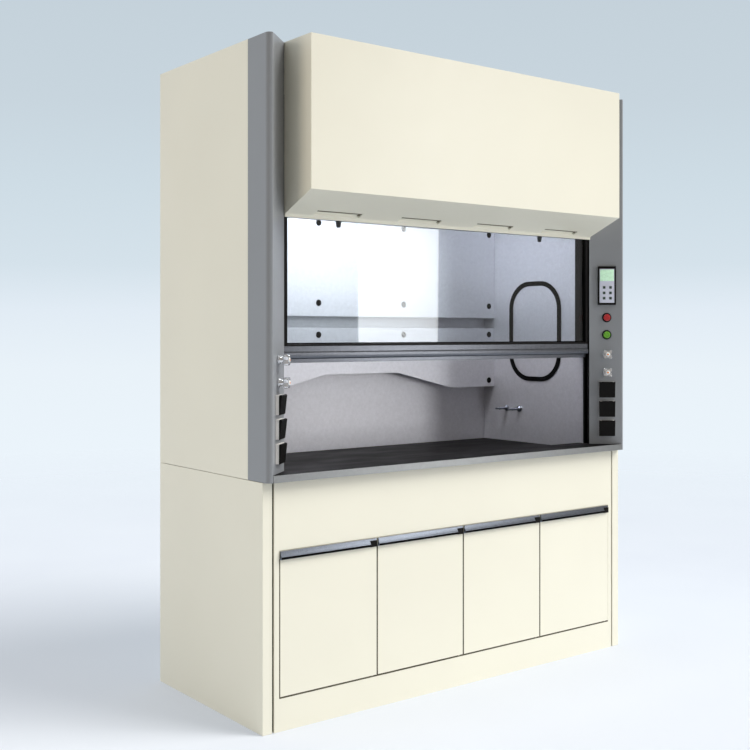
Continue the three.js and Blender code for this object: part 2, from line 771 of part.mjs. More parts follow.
// A ring of channel sections, open at the back, with a tongue and a cable lug at each side.
function sashFrame() {
  const depth = [SASH_FRONT, SASH_BACK];
  const through = [SASH_FRONT - 1, SASH_BACK + 1];
  const hollow = [RAIL_BACK + 3.5, SASH_BACK + 1];
  const clear = SASH_HALF - STILE - REBATE;
  const head = SASH_TOP - 30;
  const wall = 3;
  const ring = cut(
    wideBox(SASH_HALF, depth, [SASH_BOTTOM, SASH_TOP]),
    wideBox(clear, through, [SILL, head - REBATE]),
    wideBox(SASH_HALF - STILE, [through[0], GLASS_FRONT + GLASS + GAP], [SILL, head]),
    wideBox(SASH_HALF + 1, [through[0], RAIL_BACK], [SASH_BOTTOM - 1, RAIL_TOP + GAP]),
    wideBox(clear - 10, hollow, [SASH_BOTTOM + wall, SILL - wall]),
    wideBox(clear - 10, hollow, [head - REBATE + wall, SASH_TOP - wall]),
    ...SIDES.map(([, side]) => sideBox(side, [clear + wall, SASH_HALF - wall], hollow, [SILL, head])),
  );
  const tongues = SIDES.map(([, side]) =>
    sideBox(side, [SASH_HALF - 1, SASH_HALF + TONGUE_REACH], TONGUE, [SILL + 5, SASH_TOP - 10]),
  );
  const lugs = SIDES.map(([, side]) =>
    sideBox(side, [CABLE_X - 6, CABLE_X + 6], [SASH_BACK - 1, SASH_BACK + 12], [LUG_TOP - 20, LUG_TOP]),
  );
  return join(ring, ...tongues, ...lugs);
}

function sashGlass() {
  const half = SASH_HALF - STILE - GAP;
  return wideBox(half, [GLASS_FRONT, GLASS_FRONT + GLASS], [SILL + GAP, SASH_TOP - 30 - GAP]);
}

// The rail across the sash's foot: a flat band over a rounded grip with a finger hollow under it.
function sashHandleRail() {
  const [front, back] = [SASH_FRONT - 3, RAIL_BACK - GAP];
  const shape = new THREE.Shape();
  shape.moveTo(back, SASH_BOTTOM);
  shape.lineTo(back, RAIL_TOP);
  shape.lineTo(front + 4, RAIL_TOP);
  shape.lineTo(front + 4, 1283);
  shape.lineTo(front + 2, 1281);
  shape.quadraticCurveTo(front - 2, 1271, front + 2, 1261);
  shape.lineTo(front + 14, 1257);
  shape.lineTo(front + 14, SASH_BOTTOM);
  shape.closePath();
  return alongX(shape, -SASH_HALF, SASH_HALF, 5);
}

add("sash_frame", sashFrame(), DARK_METAL);
add("sash_glass", sashGlass(), GLASS_PANE);
add("sash_handle_rail", sashHandleRail(), ALUMINIUM);

// ---------- counterbalance ----------

// A shaft across the hood with a grooved sheave at each end, above the chamber.
function pulleyShaft(y) {
  const [groove, flange, half] = [PULLEY_R - CABLE_D / 2 - 2 * GAP, PULLEY_R + 3, 8];
  const sheave = (x) => [
    [SHAFT_R, x - half],
    [flange, x - half],
    [groove, x - 3.5],
    [groove, x + 3.5],
    [flange, x + half],
    [SHAFT_R, x + half],
  ];
  const end = CABLE_X + 10;
  const [first, last] = [[[0, -end], [SHAFT_R, -end]], [[SHAFT_R, end], [0, end]]];
  const profile = [...first, ...sheave(-CABLE_X), ...sheave(CABLE_X), ...last];
  return solid(turnedGeometry(profile, 24).applyMatrix4(ontoX).translate(0, y, PULLEY_Z));
}

const WEIGHT_Z = [1661, 1800];

function cableRun(y, z0, z1) {
  return solid(rodGeometry(CABLE_D / 2, z0, z1, 8).applyMatrix4(ontoZ).translate(0, y, 0));
}

// A quarter turn of cable over a sheave, rising at `side` -1 and falling at 1.
function cableBend(y, side) {
  const quarter = 0.5523 * PULLEY_R; // handle length that makes a cubic curve a quarter circle
  const corner = new THREE.Vector3(0, y + side * PULLEY_R, PULLEY_Z);
  const top = new THREE.Vector3(0, y, PULLEY_Z + PULLEY_R);
  const path = new THREE.CubicBezierCurve3(
    corner,
    corner.clone().add(new THREE.Vector3(0, 0, quarter)),
    top.clone().add(new THREE.Vector3(0, side * quarter, 0)),
    top,
  );
  const section = new THREE.Shape();
  section.absarc(0, 0, CABLE_D / 2, 0, 2 * Math.PI, false);
  return solid(new THREE.ExtrudeGeometry(section, { steps: 6, extrudePath: path, curveSegments: 4 }));
}

// The rope from the top of the sash's run, over both sheaves and down to the counterweight.
function weightCable() {
  const overlap = 0.5;
  const top = rodGeometry(CABLE_D / 2, FRONT_SHAFT_Y - overlap, REAR_SHAFT_Y + overlap, 8);
  return join(
    cableBend(FRONT_SHAFT_Y, -1),
    solid(top.translate(0, 0, PULLEY_Z + PULLEY_R)),
    cableBend(REAR_SHAFT_Y, 1),
    cableRun(WEIGHT_CABLE_Y, WEIGHT_Z[1] + GAP, PULLEY_Z + overlap),
  );
}

add("counterweight", wideBox(CABLE_X + 6, [WEIGHT_CABLE_Y - 10, WEIGHT_CABLE_Y + 10], WEIGHT_Z), DARK_METAL);
add("front_pulley_shaft", pulleyShaft(FRONT_SHAFT_Y), CHROME);
add("rear_pulley_shaft", pulleyShaft(REAR_SHAFT_Y), CHROME);
SIDES.forEach(([word, side]) => {
  const ropes = { sash: cableRun(SASH_CABLE_Y, LUG_TOP + GAP, PULLEY_Z - GAP), weight: weightCable() };
  Object.entries(ropes).forEach(([end, rope]) => {
    const mesh = meshOf(`${end}_cable_${word}`, rope, STEEL);
    mesh.position.x = side * CABLE_X;
    hood.add(mesh);
  });
});

// ---------- controls, in the frames of the control faces ----------
const IN_FRONT = -GAP; // local Y just in front of the control face
const BEHIND = SHEET + GAP; // local Y just behind it

function controllerHousing(x) {
  const [low, high] = CONTROLLER_Z;
  const half = CONTROLLER_HALF;
  return cut(
    join(
      box([x - half, x + half], [-10, IN_FRONT], [low, high]),
      box([x - 29, x + 29], [IN_FRONT - 1, BEHIND + 22], [low + 13, high - 13]),
    ),
    box([x - half + 6, x + half - 6], [-11, -8.5], [low + 8, high - 10]),
  );
}

function pushButton(proud) {
  const capR = 15;
  const profile = [
    [0, -proud],
    [capR - 3, -proud],
    [capR, -proud + 2.5],
    [capR, -4],
    [BUTTON_STEM, -4],
    [BUTTON_STEM, 18],
    [0, 18],
  ];
  return solid(turnedGeometry(profile));
}

// A four-lobed hand knob on a bell-shaped stem.
function serviceKnob() {
  const [lobes, out, waist] = [4, 24, 14];
  const points = [];
  const steps = 32;
  for (let i = 0; i < steps; i++) {
    const turn = (2 * Math.PI * i) / steps;
    const wave = 0.5 - 0.5 * Math.cos(lobes * turn);
    const r = waist + (out - waist) * wave;
    points.push([r * Math.cos(turn), r * Math.sin(turn)]);
  }
  const head = extruded(points, 27, 44).applyMatrix4(ontoZ);
  const stem = [
    [0, -48],
    [7, -48],
    [9, -46],
    [9, -24],
    [12, -8],
    [16, -6],
    [16, -1],
    [KNOB_STEM, -1],
    [KNOB_STEM, 20],
    [0, 20],
  ];
  return join(solid(head), solid(turnedGeometry(stem, 16)));
}

const LID_HALF = 34;
const LID_PIVOT = { y: -17.3, z: 29, r: 5 };
const FRAME_HALF = 33.5;
const FRAME_FRONT = -12;
const LUG = { from: 24, to: 28.5, r: 2.8 }; // the hinge lugs, hidden in pockets behind each lid
const PIN = 1.4; // radius of the hinge pins

// Three socket frames with hinge lugs, joined by the box behind the control face.
function outletStrip(x) {
  const bore = SOCKET_BORE / 2;
  const sleeve = COLLAR_HALF - GAP;
  const pinHole = rodGeometry(PIN + GAP, -FRAME_HALF, FRAME_HALF, 8).applyMatrix4(ontoX);
  let strip = box([x - 34, x + 34], [BEHIND, BEHIND + 42], [SOCKET_Z[2] - 34, SOCKET_Z[0] + 34]);
  SOCKET_Z.forEach((z) => {
    const hinge = z + LID_PIVOT.z;
    const lugs = [-1, 1].flatMap((end) => {
      const reach = [x + end * LUG.from, x + end * LUG.to].sort((a, b) => a - b);
      const eye = rodGeometry(LUG.r, ...reach, 12).applyMatrix4(ontoX).translate(0, LID_PIVOT.y, hinge);
      return [solid(eye), box(reach, [LID_PIVOT.y, FRAME_FRONT + 1], [hinge - LUG.r, hinge + LUG.r])];
    });
    strip = join(
      strip,
      box([x - FRAME_HALF, x + FRAME_HALF], [FRAME_FRONT, IN_FRONT], [z - FRAME_HALF, z + FRAME_HALF]),
      box([x - sleeve, x + sleeve], [IN_FRONT - 1, BEHIND + 1], [z - sleeve, z + sleeve]),
      ...lugs,
    );
    strip = cut(
      strip,
      box([x - bore, x + bore], [FRAME_FRONT - 1, BEHIND + 20], [z - bore, z + bore]),
      solid(at(pinHole, x, LID_PIVOT.y, hinge)),
    );
  });
  return strip;
}

// A wedge-shaped flip lid, hung from its round top edge by a pin through each lug.
function outletLid() {
  const { y, z, r } = LID_PIVOT;
  const low = -34;
  const shape = new THREE.Shape();
  shape.moveTo(y + r, z);
  shape.absarc(y, z, r, 0, Math.PI, false);
  shape.lineTo(y + 2.2, low + 1.5);
  shape.lineTo(y + 3.6, low);
  shape.lineTo(y + r, low);
  shape.closePath();
  const room = LUG.r + 0.4;
  const pockets = [-1, 1].flatMap((end) => {
    const reach = [end * (LUG.from - 0.4), end * (LUG.to + 0.4)].sort((a, b) => a - b);
    const round = rodGeometry(room, ...reach, 12).applyMatrix4(ontoX).translate(0, y, z);
    const behind = box(reach, [y, y + r + 1], [z - room, z]);
    const above = box(reach, [y - room, y + r + 1], [z, z + r + 1]);
    return [solid(round), behind, above];
  });
  const pin = rodGeometry(PIN, -LID_HALF + 2, LID_HALF - 2, 8).applyMatrix4(ontoX).translate(0, y, z);
  return join(cut(alongX(shape, -LID_HALF, LID_HALF, 5), ...pockets), solid(pin));
}

// A mesh in a control face's group, moved to its place there.
function addToFace(word, name, made, look, x, z) {
  const mesh = meshOf(name, made, look);
  mesh.position.set(x, 0, z);
  faces[word].add(mesh);
}

SIDES.forEach(([word, side]) => {
  const x = controlX(side);
  add(`outlet_strip_${word}`, outletStrip(x), WHITE_PLASTIC, faces[word]);
  SOCKET_Z.forEach((z, i) => addToFace(word, `outlet_lid_${word}_${i + 1}`, outletLid(), PLASTIC, x, z));
  KNOB_Z.forEach((z, i) => addToFace(word, `service_knob_${word}_${i + 1}`, serviceKnob(), CHROME, x, z));
});
add("controller_housing", controllerHousing(controlX(1)), PLASTIC, faces.right);
addToFace("right", "stop_button", pushButton(11), RED, controlX(1), BUTTON_Z.stop);
addToFace("right", "start_button", pushButton(9), GREEN, controlX(1), BUTTON_Z.start);

export default hood;
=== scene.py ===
import json
import math

import bmesh
import bpy
from mathutils import Matrix, Vector


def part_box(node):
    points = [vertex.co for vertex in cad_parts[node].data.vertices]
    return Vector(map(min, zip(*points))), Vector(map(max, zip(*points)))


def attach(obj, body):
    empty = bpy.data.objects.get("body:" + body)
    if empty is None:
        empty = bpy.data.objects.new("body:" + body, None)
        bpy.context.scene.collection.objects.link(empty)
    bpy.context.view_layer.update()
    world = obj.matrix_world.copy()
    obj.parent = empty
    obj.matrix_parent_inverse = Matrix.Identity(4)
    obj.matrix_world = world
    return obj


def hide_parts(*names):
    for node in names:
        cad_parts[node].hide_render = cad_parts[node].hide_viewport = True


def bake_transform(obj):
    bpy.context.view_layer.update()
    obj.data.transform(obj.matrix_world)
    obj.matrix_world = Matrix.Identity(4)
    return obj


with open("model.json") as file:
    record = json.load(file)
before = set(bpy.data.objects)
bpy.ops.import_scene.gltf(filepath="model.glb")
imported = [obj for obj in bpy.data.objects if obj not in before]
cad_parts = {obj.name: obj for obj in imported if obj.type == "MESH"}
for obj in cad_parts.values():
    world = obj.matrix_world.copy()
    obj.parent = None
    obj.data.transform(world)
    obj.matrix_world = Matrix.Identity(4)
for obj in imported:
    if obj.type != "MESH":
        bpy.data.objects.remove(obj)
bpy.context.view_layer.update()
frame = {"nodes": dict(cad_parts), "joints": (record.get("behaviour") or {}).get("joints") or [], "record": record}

MM = 0.001
CABINET = "cabinet"
SIDES = ("left", "right")
DOORS = (1, 2, 3, 4)
joints = {joint["name"]: joint for joint in frame["joints"]}

# The sockets of a Mix node that mixes colours.
MIX_FACTOR = 0
MIX_A = 6
MIX_B = 7
MIX_RESULT = 2


# ---------- colour and materials ----------

def srgb(red, green, blue):
    """A colour of 0 to 255 per channel as the linear colour that shaders take."""
    def linear(value):
        value /= 255
        return value / 12.92 if value <= 0.04045 else ((value + 0.055) / 1.055) ** 2.4
    return (linear(red), linear(green), linear(blue), 1.0)


def shade(colour, factor):
    return tuple(min(1.0, channel * factor) for channel in colour[:3]) + (1.0,)


class Material:
    """A node material round one Principled shader, with short ways to add procedural detail."""

    def __init__(self, name):
        self.data = bpy.data.materials.new(name)
        self.data.use_nodes = True
        self.tree = self.data.node_tree
        self.shader = self.tree.nodes["Principled BSDF"]
        self.coordinates = self.node("ShaderNodeTexCoord").outputs["Object"]

    def node(self, kind, **settings):
        made = self.tree.nodes.new(kind)
        for key, value in settings.items():
            setattr(made, key, value)
        return made

    def link(self, source, target):
        self.tree.links.new(source, target)

    def set(self, **values):
        for key, value in values.items():
            self.shader.inputs[key.replace("_", " ").title().replace("Ior", "IOR")].default_value = value
        return self

    def noise(self, scale, detail, stretch=(1, 1, 1), rough=0.5):
        """Noise of about 0 to 1 at scale cells to the metre, times stretch along each axis."""
        mapping = self.node("ShaderNodeMapping")
        mapping.inputs["Scale"].default_value = stretch
        texture = self.node("ShaderNodeTexNoise")
        texture.inputs["Scale"].default_value = scale
        texture.inputs["Detail"].default_value = detail
        texture.inputs["Roughness"].default_value = rough
        self.link(self.coordinates, mapping.inputs["Vector"])
        self.link(mapping.outputs["Vector"], texture.inputs["Vector"])
        return texture.outputs["Fac"]

    def ramp(self, source, low, high, start=0.3, end=0.7):
        """A value or colour that goes from low to high as source goes from start to end."""
        if isinstance(low, tuple):
            mix = self.node("ShaderNodeMix", data_type="RGBA")
            mix.inputs[MIX_A].default_value = low
            mix.inputs[MIX_B].default_value = high
            self.link(self.ramp(source, 0.0, 1.0, start, end), mix.inputs[MIX_FACTOR])
            return mix.outputs[MIX_RESULT]
        span = self.node("ShaderNodeMapRange")
        for socket, value in (("From Min", start), ("From Max", end), ("To Min", low), ("To Max", high)):
            span.inputs[socket].default_value = value
        self.link(source, span.inputs["Value"])
        return span.outputs["Result"]

    def colour(self, source):
        self.link(source, self.shader.inputs["Base Color"])

    def roughness(self, source):
        self.link(source, self.shader.inputs["Roughness"])

    def bump(self, height, strength, distance):
        bump = self.node("ShaderNodeBump")
        bump.inputs["Strength"].default_value = strength
        bump.inputs["Distance"].default_value = distance
        self.link(height, bump.inputs["Height"])
        self.link(bump.outputs["Normal"], self.shader.inputs["Normal"])


def enamel(name, colour, rough):
    """Powder-coated sheet: a faint tone drift and a fine orange-peel surface."""
    made = Material(name).set(coat_weight=0.25, coat_roughness=0.3)
    made.colour(made.ramp(made.noise(1.6, 2), shade(colour, 0.975), shade(colour, 1.015)))
    made.roughness(made.ramp(made.noise(9, 4), rough - 0.04, rough + 0.05))
    made.bump(made.noise(620, 2), 0.12, 0.0003)
    return made.data


def satin_metal(name, colour, rough, grain=(1, 1, 60), metallic=1.0):
    """Satin metal with a fine grain that runs along the axes where grain is least."""
    made = Material(name).set(metallic=metallic)
    streaks = made.noise(26, 5, grain, 0.6)
    made.colour(made.ramp(made.noise(75, 6, rough=0.65), shade(colour, 0.93), shade(colour, 1.06)))
    made.roughness(made.ramp(streaks, rough - 0.05, rough + 0.07))
    made.bump(streaks, 0.06, 0.0002)
    return made.data


def moulded(name, colour, rough, specular=0.5):
    """Moulded plastic with a fine spark-eroded texture."""
    made = Material(name).set(specular_ior_level=specular)
    made.colour(made.ramp(made.noise(14, 3), shade(colour, 0.88), shade(colour, 1.15)))
    made.roughness(made.ramp(made.noise(60, 3), rough - 0.05, rough + 0.08))
    made.bump(made.noise(900, 2), 0.2, 0.0002)
    return made.data


def rubber(name, colour):
    """Matt rubber with a dusty bloom in patches."""
    made = Material(name).set(specular_ior_level=0.06)
    made.colour(made.ramp(made.noise(40, 4), shade(colour, 0.8), shade(colour, 1.4)))
    made.roughness(made.ramp(made.noise(25, 3), 0.62, 0.82))
    made.bump(made.noise(1400, 3), 0.25, 0.0002)
    return made.data


def cast_resin(name, colour):
    """The worktop: honed epoxy resin with fine mineral specks and a few dull smears."""
    made = Material(name).set(specular_ior_level=0.04)
    made.colour(made.ramp(made.noise(420, 2), shade(colour, 0.8), shade(colour, 1.35), 0.35, 0.7))
    made.roughness(made.ramp(made.noise(5, 5, (1, 2.5, 1)), 0.46, 0.6))
    made.bump(made.noise(300, 3), 0.08, 0.0002)
    return made.data


def lens(name, colour, glow=0.0):
    """A glossy coloured lamp lens, a little darker in patches."""
    made = Material(name).set(coat_weight=0.6, coat_roughness=0.06)
    made.set(emission_color=colour, emission_strength=glow)
    made.colour(made.ramp(made.noise(120, 2), shade(colour, 0.9), shade(colour, 1.1)))
    made.roughness(made.ramp(made.noise(90, 2), 0.18, 0.3))
    return made.data


def pane(name, tint):
    """Clear glass that lets light through and mirrors by angle."""
    made = Material(name)
    clear = made.node("ShaderNodeBsdfTransparent")
    made.link(made.ramp(made.noise(1.5, 2), shade(tint, 0.985), tint), clear.inputs["Color"])
    gloss = made.node("ShaderNodeBsdfGlossy")
    gloss.inputs["Roughness"].default_value = 0.015
    gloss.inputs["Color"].default_value = (1, 1, 1, 1)
    angle = made.node("ShaderNodeLayerWeight")
    steep = made.node("ShaderNodeMath", operation="POWER")
    made.link(angle.outputs["Facing"], steep.inputs[0])
    steep.inputs[1].default_value = 5
    head_on = 0.036  # share of the light that the glass mirrors when seen straight on
    share = made.ramp(steep.outputs["Value"], head_on, 1.0, 0.0, 1.0)
    mix = made.node("ShaderNodeMixShader")
    made.link(share, mix.inputs["Fac"])
    made.link(clear.outputs["BSDF"], mix.inputs[1])
    made.link(gloss.outputs["BSDF"], mix.inputs[2])
    made.link(mix.outputs["Shader"], made.tree.nodes["Material Output"].inputs["Surface"])
    made.tree.nodes.remove(made.shader)
    return made.data


CREAM = srgb(236, 233, 216)
looks = {
    "cream_enamel": enamel("cream_enamel", CREAM, 0.42),
    "grey_enamel": enamel("grey_enamel", srgb(140, 143, 147), 0.36),
    "satin_steel": satin_metal("satin_steel", srgb(200, 200, 206), 0.42, metallic=0.75),
    "anodised": satin_metal("anodised", srgb(105, 108, 115), 0.3, (1, 60, 60)),
    "dark_anodised": satin_metal("dark_anodised", srgb(34, 33, 33), 0.4, (1, 60, 60)),
    "dark_steel": enamel("dark_steel", srgb(38, 38, 40), 0.45),
    "bare_steel": satin_metal("bare_steel", srgb(170, 172, 175), 0.35, (60, 1, 1)),
    "black_resin": cast_resin("black_resin", srgb(17, 16, 16)),
    "black_rubber": rubber("black_rubber", srgb(4, 4, 4)),
    "black_plastic": moulded("black_plastic", srgb(12, 10, 9), 0.5, specular=0.14),
    "white_plastic": moulded("white_plastic", srgb(238, 235, 230), 0.4),
    "chrome": satin_metal("chrome", srgb(232, 233, 236), 0.22, (3, 3, 3), metallic=0.8),
    "clear_glass": pane("clear_glass", srgb(240, 244, 246)),
    "red_lens": lens("red_lens", srgb(178, 38, 42)),
    "green_lens": lens("green_lens", srgb(100, 165, 45)),
}
extra = {
    "display": lens("display_screen", srgb(200, 238, 208), 0.2),
    "key": moulded("key_plastic", srgb(52, 70, 62), 0.4),
    "bezel_face": moulded("bezel_face", srgb(205, 208, 222), 0.42),
    "orange_plastic": moulded("orange_plastic", srgb(214, 120, 50), 0.4),
    "hub_plastic": moulded("hub_plastic", srgb(238, 238, 234), 0.35),
    "edge_strip": satin_metal("edge_strip", srgb(158, 160, 160), 0.36, (1, 60, 60)),
    "pull_metal": satin_metal("pull_metal", srgb(121, 127, 137), 0.3, (1, 60, 60)),
    "dull_chrome": satin_metal("dull_chrome", srgb(128, 132, 142), 0.3, (3, 3, 3)),
    # a dark brown that paints the shade in the seams round the doors
    "seam_shade": rubber("seam_shade_paint", srgb(84, 80, 66)),
    # a dark brown that paints the shade inside the canopy's trays
    "tray_shade_paint": moulded("tray_shade_paint", srgb(112, 106, 88), 0.5),
    "diffuser": lens("lamp_diffuser", srgb(240, 242, 245), 0.6),
}
for row in frame["record"]["subparts"]:
    node = frame["nodes"][row["node"]]
    node.data.materials.clear()
    node.data.materials.append(looks[row["material_slot"]])
finer = {
    "worktop_front_edge": extra["edge_strip"],
    **{f"service_fitting_{side}": extra["dull_chrome"] for side in SIDES},
    **{f"door_handle_{i}": extra["pull_metal"] for i in DOORS},
    **{f"sash_track_{side}": looks["dark_anodised"] for side in SIDES},
}
for name, material in finer.items():
    frame["nodes"][name].data.materials[0] = material


# ---------- finer edges on the CAD nodes ----------

def modifier(node, kind, **settings):
    made = node.modifiers.new(kind.lower(), kind)
    for key, value in settings.items():
        setattr(made, key, value)


def soften(node, width):
    """Rounds a node's sharp edges by `width` metres without moving its faces."""
    node.data.polygons.foreach_set("use_smooth", [True] * len(node.data.polygons))
    modifier(node, "WELD", merge_threshold=0.00002)
    modifier(node, "DECIMATE", decimate_type="DISSOLVE", angle_limit=math.radians(0.5))
    modifier(
        node, "BEVEL", width=width, segments=2, limit_method="ANGLE",
        angle_limit=math.radians(38), use_clamp_overlap=True,
    )
    modifier(node, "WEIGHTED_NORMAL", weight=100, keep_sharp=False)


PLAIN_EDGE = 1.0  # millimetres, for the slots that aren't in the table
EDGE = {
    "black_plastic": 0.8,
    "chrome": 0.5,
    "anodised": 0.6,
    "black_resin": 2.0,
    "clear_glass": 0.5,
    "satin_steel": 0.4,
}
for row in frame["record"]["subparts"]:
    soften(frame["nodes"][row["node"]], EDGE.get(row["material_slot"], PLAIN_EDGE) * MM)


# ---------- making pieces ----------

def finish_piece(name, mesh, material, body=CABINET):
    """An object of the mesh that moves with body; with body None it is attached to no body."""
    mesh.name = name
    piece = bpy.data.objects.new(name, mesh)
    bpy.context.scene.collection.objects.link(piece)
    mesh.materials.append(material)
    if body:
        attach(piece, body)
    return piece


def mesh_from(build, matrix=None):
    """A mesh filled in by build(bmesh), with its normals turned outwards, smooth, and moved by matrix."""
    mesh = bpy.data.meshes.new("piece")
    work = bmesh.new()
    build(work)
    bmesh.ops.recalc_face_normals(work, faces=work.faces)
    if matrix is not None:
        work.transform(matrix)
    for face in work.faces:
        face.smooth = True
    work.to_mesh(mesh)
    work.free()
    mesh.set_sharp_from_angle(angle=math.radians(35))
    return mesh


def add_block(work, low, high, rounding, segments=3):
    """A box with rounded edges, added to work; low and high are in millimetres."""
    size = [b - a for a, b in zip(low, high)]
    centre = [(a + b) / 2 * MM for a, b in zip(low, high)]
    place = Matrix.Translation(centre) @ Matrix.Diagonal([length * MM for length in size] + [1])
    made = bmesh.ops.create_cube(work, size=1, matrix=place)
    edges = list({edge for vertex in made["verts"] for edge in vertex.link_edges})
    bmesh.ops.bevel(
        work, geom=edges, offset=rounding * MM, segments=segments, profile=0.5, affect="EDGES",
    )


def block_mesh(boxes, rounding, segments=3, matrix=None):
    """A mesh of boxes with rounded edges, each given as its low and high corner in millimetres."""
    def build(work):
        for low, high in boxes:
            add_block(work, low, high, rounding, segments)

    return mesh_from(build, matrix)


def span(xs, ys, zs):
    """The low and high corner of a box from its (low, high) along each axis."""
    return tuple(zip(xs, ys, zs))


def join_rings(work, rings):
    """Skins rings of vertices in turn; a ring of a single vertex is a point on the axis."""
    for before, after in zip(rings, rings[1:]):
        sides = max(len(before), len(after))
        for i in range(sides):
            j = i + 1
            around = ((before, i), (before, j), (after, j), (after, i))
            corners = list(dict.fromkeys(ring[k % len(ring)] for ring, k in around))
            work.faces.new(corners)


def add_turned(work, profile, segments=48, place=None):
    """A shape turned about the local Y axis from (radius, distance) pairs in millimetres, added to work."""
    angles = [2 * math.pi * i / segments for i in range(segments)]
    rings = []
    for radius, along in profile:
        if radius == 0:
            rings.append([work.verts.new((0, along * MM, 0))])
            continue
        rings.append([
            work.verts.new((radius * MM * math.cos(angle), along * MM, radius * MM * math.sin(angle)))
            for angle in angles
        ])
    join_rings(work, rings)
    if place is not None:
        made = [vertex for ring in rings for vertex in ring]
        bmesh.ops.transform(work, matrix=place, verts=made)


def turned_mesh(profile, place):
    return mesh_from(lambda work: add_turned(work, profile), place)


def box_mm(node):
    """The lowest and highest corner of a CAD node at rest, in millimetres."""
    return [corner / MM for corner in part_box(node)]


def middle(node):
    """The middle of a CAD node's box at rest, in millimetres."""
    return [(low + high) / 2 / MM for low, high in zip(*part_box(node))]


def face_matrix(side):
    """The frame of a control face: X along it, Y into the post, and Z up from the floor.

    Its origin is on the line down the middle of the controls.
    """
    joint_reach = 20  # of a knob's joint in front of the face, in millimetres
    joint = joints[f"service_knob_{side}_1_turn"]
    inward = Vector(joint["axis"])
    along = inward.cross(Vector((0, 0, 1)))
    origin = Vector(joint["pos_m"]) + inward * joint_reach * MM
    origin.z = 0
    return Matrix((
        (along.x, inward.x, 0, origin.x),
        (along.y, inward.y, 0, origin.y),
        (0, 0, 1, 0),
        (0, 0, 0, 1),
    ))


# ---------- controls ----------

def controller(face):
    """The panel, display and keys in the recess of the controller's housing."""
    low, high = (corner.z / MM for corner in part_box("controller_housing"))
    panel_half = 31.5
    panel_depth = (-9.2, -7.8)
    display_half = 29
    display_depth = (-10.0, -9.1)
    key_half = 5.5
    key_depth = (-10.5, -9.0)
    key_columns = (-12, 15)
    key_rows = (low + 28.3, low + 51, low + 74.6)
    panel = span((-panel_half, panel_half), panel_depth, (low + 8.5, high - 10.5))
    display = span((-display_half, display_half), display_depth, (high - 63, high - 14))
    keys = [
        span((x - key_half, x + key_half), key_depth, (z - key_half, z + key_half))
        for x in key_columns
        for z in key_rows
    ]
    for name, boxes, rounding, material, slot in (
        ("controller_panel", [panel], 0.6, extra["bezel_face"], "black_plastic"),
        ("controller_screen", [display], 0.4, extra["display"], "green_lens"),
        ("controller_keys", keys, 0.9, extra["key"], "black_plastic"),
    ):
        finish_piece(name, block_mesh(boxes, rounding, matrix=face), material)


def button_ring(name, face, z):
    """The dark ring that a push button stands in."""
    profile = [
        (15.4, -0.4), (19.6, -0.4), (20, -1.2), (19.4, -4.2),
        (18.2, -5.4), (16.4, -5.4), (15.4, -4.6), (15.4, -0.4),
    ]
    mesh = turned_mesh(profile, face @ Matrix.Translation((0, 0, z * MM)))
    finish_piece(name, mesh, looks["black_plastic"])


def knob_head(work):
    """A lobed grip with a rounded front edge, turned about the local Y axis."""
    lobes = 4
    out = 23.8
    waist = 13.5
    back = -21.5
    front = -38.5
    steps = 96
    # (distance along the axis, share of the full outline)
    levels = [
        (back, 0.93), (back - 1, 0.98), (back - 3, 1.0),
        (front + 4, 1.0), (front + 1.5, 0.96), (front, 0.88),
    ]
    rings = [[work.verts.new((0, back * MM, 0))]]
    for along, scale in levels:
        ring = []
        for i in range(steps):
            turn = 2 * math.pi * i / steps
            radius = scale * MM * (waist + (out - waist) * (0.5 - 0.5 * math.cos(lobes * turn)))
            ring.append(work.verts.new((radius * math.cos(turn), along * MM, radius * math.sin(turn))))
        rings.append(ring)
    rings.append([work.verts.new((0, front * MM, 0))])
    join_rings(work, rings)


def service_knob(name, face):
    """The grip that stands for the CAD knob, with its white hub and orange mark."""
    place = face @ Matrix.Translation((0, 0, middle(name)[2] * MM))
    stem = [
        (0, -39.5), (8.8, -39.5), (9, -38.5), (8.4, -20.5), (9.4, -18), (11.8, -9), (12.6, -7),
        (15.4, -6.2), (16, -5.4), (16, -1.6), (15.4, -1), (5, -1), (5, 20), (0, 20),
    ]
    hub = [(0, -41.7), (7.2, -41.7), (8.4, -40.9), (8.7, -38.7), (0, -38.7)]
    mark = [(0, -42.3), (3.4, -42.3), (3.9, -41.6), (0, -41.6)]

    def grip(work):
        knob_head(work)
        add_turned(work, stem)

    body = finish_piece(f"{name}_grip", mesh_from(grip, place), looks["chrome"], name)
    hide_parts(name)
    finish_piece(f"{name}_hub", turned_mesh(hub, place), extra["hub_plastic"], name)
    finish_piece(f"{name}_mark", turned_mesh(mark, place), extra["orange_plastic"], name)


def socket_face(name, face, z):
    """The round socket inside a frame, with a slanted bar on either side of its middle."""
    place = face @ Matrix.Translation((0, 0, z * MM))
    cup = [(0, 22.8), (21, 22.8), (22.5, 21.6), (22.5, 14), (21.5, 13), (20, 14), (20, 20), (0, 20)]
    bar_size = (2.2, 0.8, 7.5)
    bar_y = 19.7
    bar_z = 3
    bars = ((-8, 0.5), (8, -0.5))  # (distance to the side, tilt in radians)

    def insert(work):
        add_turned(work, cup)
        for x, tilt in bars:
            scale = Matrix.Diagonal([length * MM for length in bar_size] + [1])
            turn = Matrix.Translation((x * MM, bar_y * MM, bar_z * MM)) @ Matrix.Rotation(tilt, 4, "Y")
            bmesh.ops.create_cube(work, size=1, matrix=turn @ scale)

    finish_piece(name, mesh_from(insert, place), looks["white_plastic"])


for side in SIDES:
    face = face_matrix(side)
    for i in (1, 2):
        service_knob(f"service_knob_{side}_{i}", face)
    for i in (1, 2, 3):
        socket_face(f"socket_face_{side}_{i}", face, middle(f"outlet_lid_{side}_{i}")[2])
right_face = face_matrix("right")
controller(right_face)
for button in ("stop_button", "start_button"):
    button_ring(f"{button}_ring", right_face, middle(button)[2])
